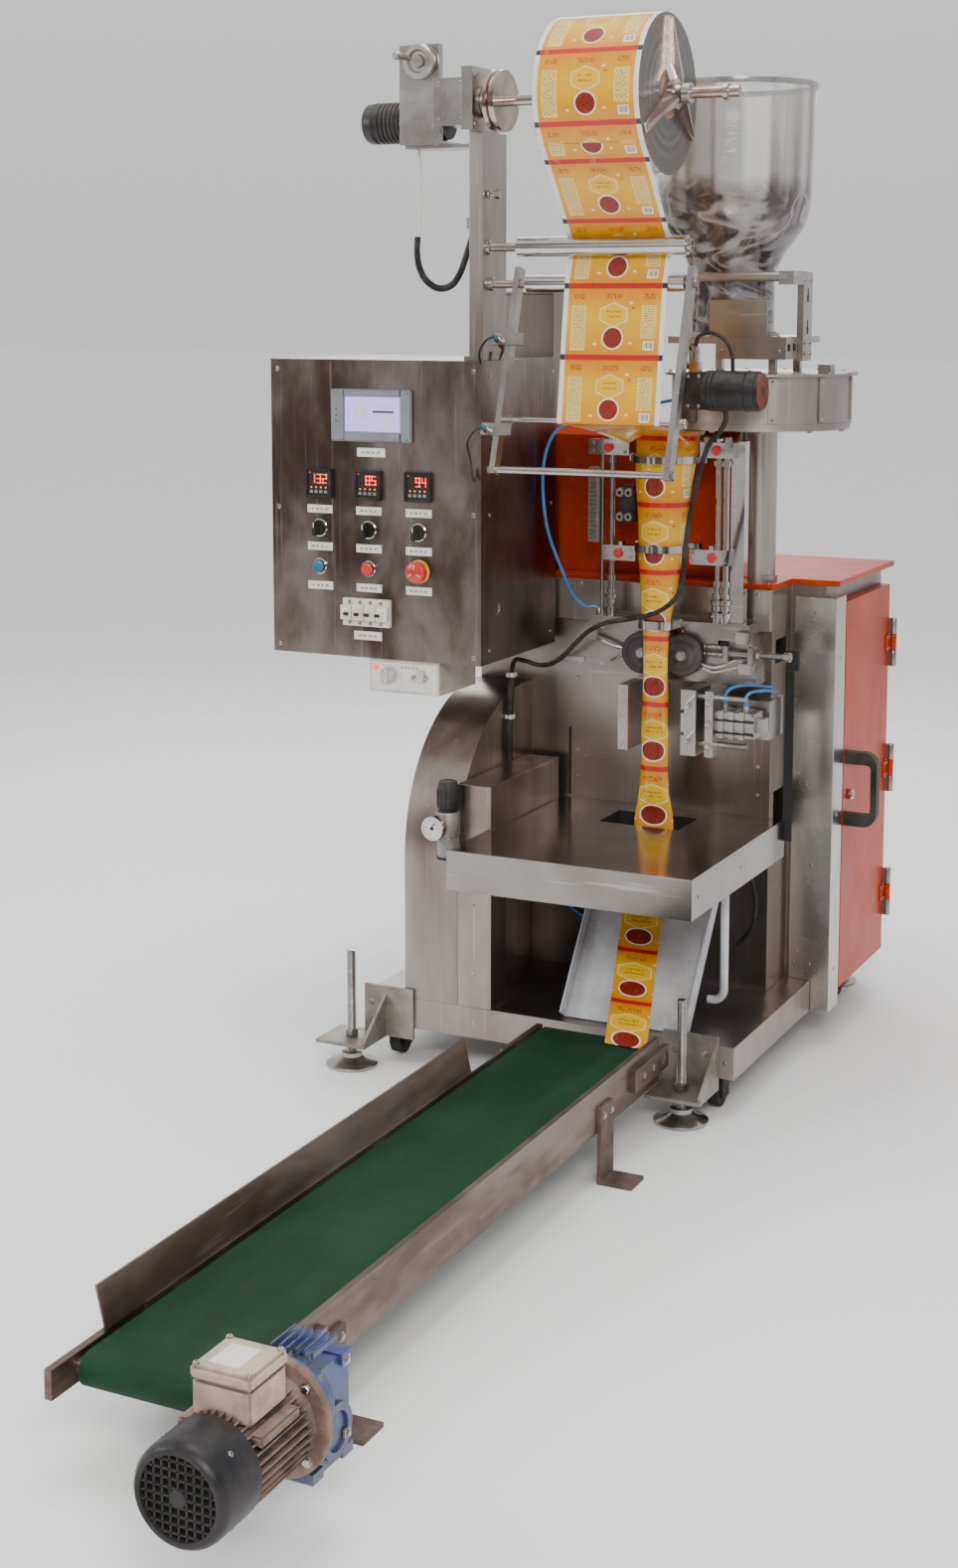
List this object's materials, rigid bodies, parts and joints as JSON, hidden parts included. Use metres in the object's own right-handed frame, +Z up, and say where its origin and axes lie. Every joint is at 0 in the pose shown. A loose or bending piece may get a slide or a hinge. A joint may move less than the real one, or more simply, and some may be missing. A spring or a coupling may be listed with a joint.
{
  "type": "form fill seal machine",
  "caption": "Vertical form fill seal packing machine with film reel, clear hopper, control box, discharge tray and take-off belt conveyor.",
  "frame": {"origin": "on the floor under the middle of the outline of machine and conveyor", "axes": "+Z up, +X to the right as seen from the operator, -Y towards the far end of the conveyor"},
  "size_m": [0.939, 2.418, 1.761],
  "materials": {
    "stainless": "brushed stainless sheet",
    "tinted_steel": "glossy orange-red",
    "bright_steel": "bright steel",
    "aluminium": "machined",
    "galvanised": "pale grey sheet",
    "black_plastic": "matt black",
    "black_metal": "satin black",
    "red_plastic": "glossy red",
    "blue_plastic": "glossy blue",
    "screen_plastic": "grey bezel with a lit screen",
    "ivory_plastic": "cream",
    "film": "printed film",
    "clear_plastic": "clear acrylic",
    "rubber_wheel": "black rubber",
    "belt_pvc": "dark green belt",
    "brown_paint": "dark brown",
    "blue_paint": "blue enamel, worn",
    "motor_paint": "dusty beige casting with a black cowl",
    "regulator": "grey",
    "blue_hose": "blue hose"
  },
  "bodies": {
    "machine": {"base_frame": "stainless", "main_cabinet": "stainless", "side_pod": "stainless", "corner_column": "stainless", "shelf_beam": "stainless", "cabinet_roof": "tinted_steel", "discharge_tray": "stainless", "tray_guard": "stainless", "discharge_chute": "galvanised", "foot_brackets": "bright_steel", "levelling_feet": "bright_steel", "casters": "rubber_wheel", "control_box": "stainless", "control_panel": "stainless", "touch_screen": "screen_plastic", "temperature_controllers": "black_plastic", "circuit_breaker": "ivory_plastic", "feeder_controller": "ivory_plastic", "film_post": "stainless", "unwind_unit": "aluminium", "unwind_motor": "black_metal", "dancer_frame": "bright_steel", "film_web": "film", "pouch_tube": "film", "hopper": "clear_plastic", "filler_frame": "aluminium", "cup_drum": "stainless", "filler_motor": "black_metal", "guide_columns": "bright_steel", "draw_unit": "aluminium", "fixed_jaw": "bright_steel", "jaw_cylinder": "aluminium", "conveyor_frame": "stainless", "conveyor_belt": "belt_pvc", "conveyor_feet": "brown_paint", "worm_gearbox": "blue_paint", "conveyor_motor": "motor_paint", "filter_regulator": "regulator", "upper_housing": "stainless", "rear_cover": "tinted_steel", "signal_cable": "rubber_wheel", "air_tube": "blue_hose"},
    "door": {"side_door": "tinted_steel", "door_handle": "black_plastic"},
    "reel": {"reel_shaft": "bright_steel", "film_reel": "film"},
    "upper_roller": {"upper_guide_roller": "bright_steel"},
    "lower_roller": {"lower_guide_roller": "bright_steel"},
    "handwheel": {"position_handwheel": "aluminium"},
    "left_wheel": {"draw_wheel_left": "rubber_wheel"},
    "right_wheel": {"draw_wheel_right": "rubber_wheel"},
    "jaw": {"sealing_jaw": "bright_steel"},
    "drive_drum": {"drive_roller": "bright_steel"},
    "tail_drum": {"tail_roller": "bright_steel"},
    "selector_a": {"selector_left": "black_plastic"},
    "selector_b": {"selector_middle": "black_plastic"},
    "selector_c": {"selector_right": "black_plastic"},
    "start": {"start_button": "blue_plastic"},
    "stop": {"stop_button": "red_plastic"},
    "estop": {"emergency_stop": "red_plastic"}
  },
  "joints": [
    {"name": "side_door_hinge", "type": "hinge", "parent": "machine", "child": "door", "pos_m": [0.4175, 1.119, 0.445], "axis": [0, 0, 1], "range_deg": [0, 105]},
    {"name": "reel_spin", "type": "hinge", "parent": "machine", "child": "reel", "pos_m": [0.1555, 0.379, 1.637], "axis": [1, 0, 0], "continuous": true},
    {"name": "upper_roller_spin", "type": "hinge", "parent": "machine", "child": "upper_roller", "pos_m": [0.1555, 0.385, 1.405], "axis": [1, 0, 0], "continuous": true},
    {"name": "lower_roller_spin", "type": "hinge", "parent": "machine", "child": "lower_roller", "pos_m": [0.1555, 0.397, 1.346], "axis": [1, 0, 0], "continuous": true},
    {"name": "handwheel_turn", "type": "hinge", "parent": "machine", "child": "handwheel", "pos_m": [-0.1785, 0.349, 1.703], "axis": [0, 1, 0], "continuous": true},
    {"name": "draw_wheel_left_spin", "type": "hinge", "parent": "machine", "child": "left_wheel", "pos_m": [0.1188, 0.596, 0.718], "axis": [0, 1, 0], "continuous": true},
    {"name": "draw_wheel_right_spin", "type": "hinge", "parent": "machine", "child": "right_wheel", "pos_m": [0.1922, 0.596, 0.718], "axis": [0, 1, 0], "continuous": true},
    {"name": "jaw_slide", "type": "slide", "parent": "machine", "child": "jaw", "axis": [-1, 0, 0], "range_m": [0, 0.026]},
    {"name": "drive_roller_spin", "type": "hinge", "parent": "machine", "child": "drive_drum", "pos_m": [0.1755, -0.959, 0.12], "axis": [1, 0, 0], "continuous": true},
    {"name": "tail_roller_spin", "type": "hinge", "parent": "machine", "child": "tail_drum", "pos_m": [0.1755, 0.284, 0.12], "axis": [1, 0, 0], "continuous": true},
    {"name": "selector_a_turn", "type": "hinge", "parent": "machine", "child": "selector_a", "pos_m": [-0.3745, 0.356, 0.935], "axis": [0, 1, 0], "range_deg": [-45, 45]},
    {"name": "selector_b_turn", "type": "hinge", "parent": "machine", "child": "selector_b", "pos_m": [-0.2795, 0.356, 0.935], "axis": [0, 1, 0], "range_deg": [-45, 45]},
    {"name": "selector_c_turn", "type": "hinge", "parent": "machine", "child": "selector_c", "pos_m": [-0.1845, 0.356, 0.935], "axis": [0, 1, 0], "range_deg": [-45, 45]},
    {"name": "start_button_press", "type": "slide", "parent": "machine", "child": "start", "axis": [0, 1, 0], "range_m": [0, 0.004], "stiffness_N_per_m": 600},
    {"name": "stop_button_press", "type": "slide", "parent": "machine", "child": "stop", "axis": [0, 1, 0], "range_m": [0, 0.004], "stiffness_N_per_m": 600},
    {"name": "emergency_stop_press", "type": "slide", "parent": "machine", "child": "estop", "axis": [0, 1, 0], "range_m": [0, 0.005]}
  ],
  "couplings": [
    {"joint": "draw_wheel_right_spin", "follows": "draw_wheel_left_spin", "ratio": -1},
    {"joint": "tail_roller_spin", "follows": "drive_roller_spin", "ratio": 1}
  ]
}
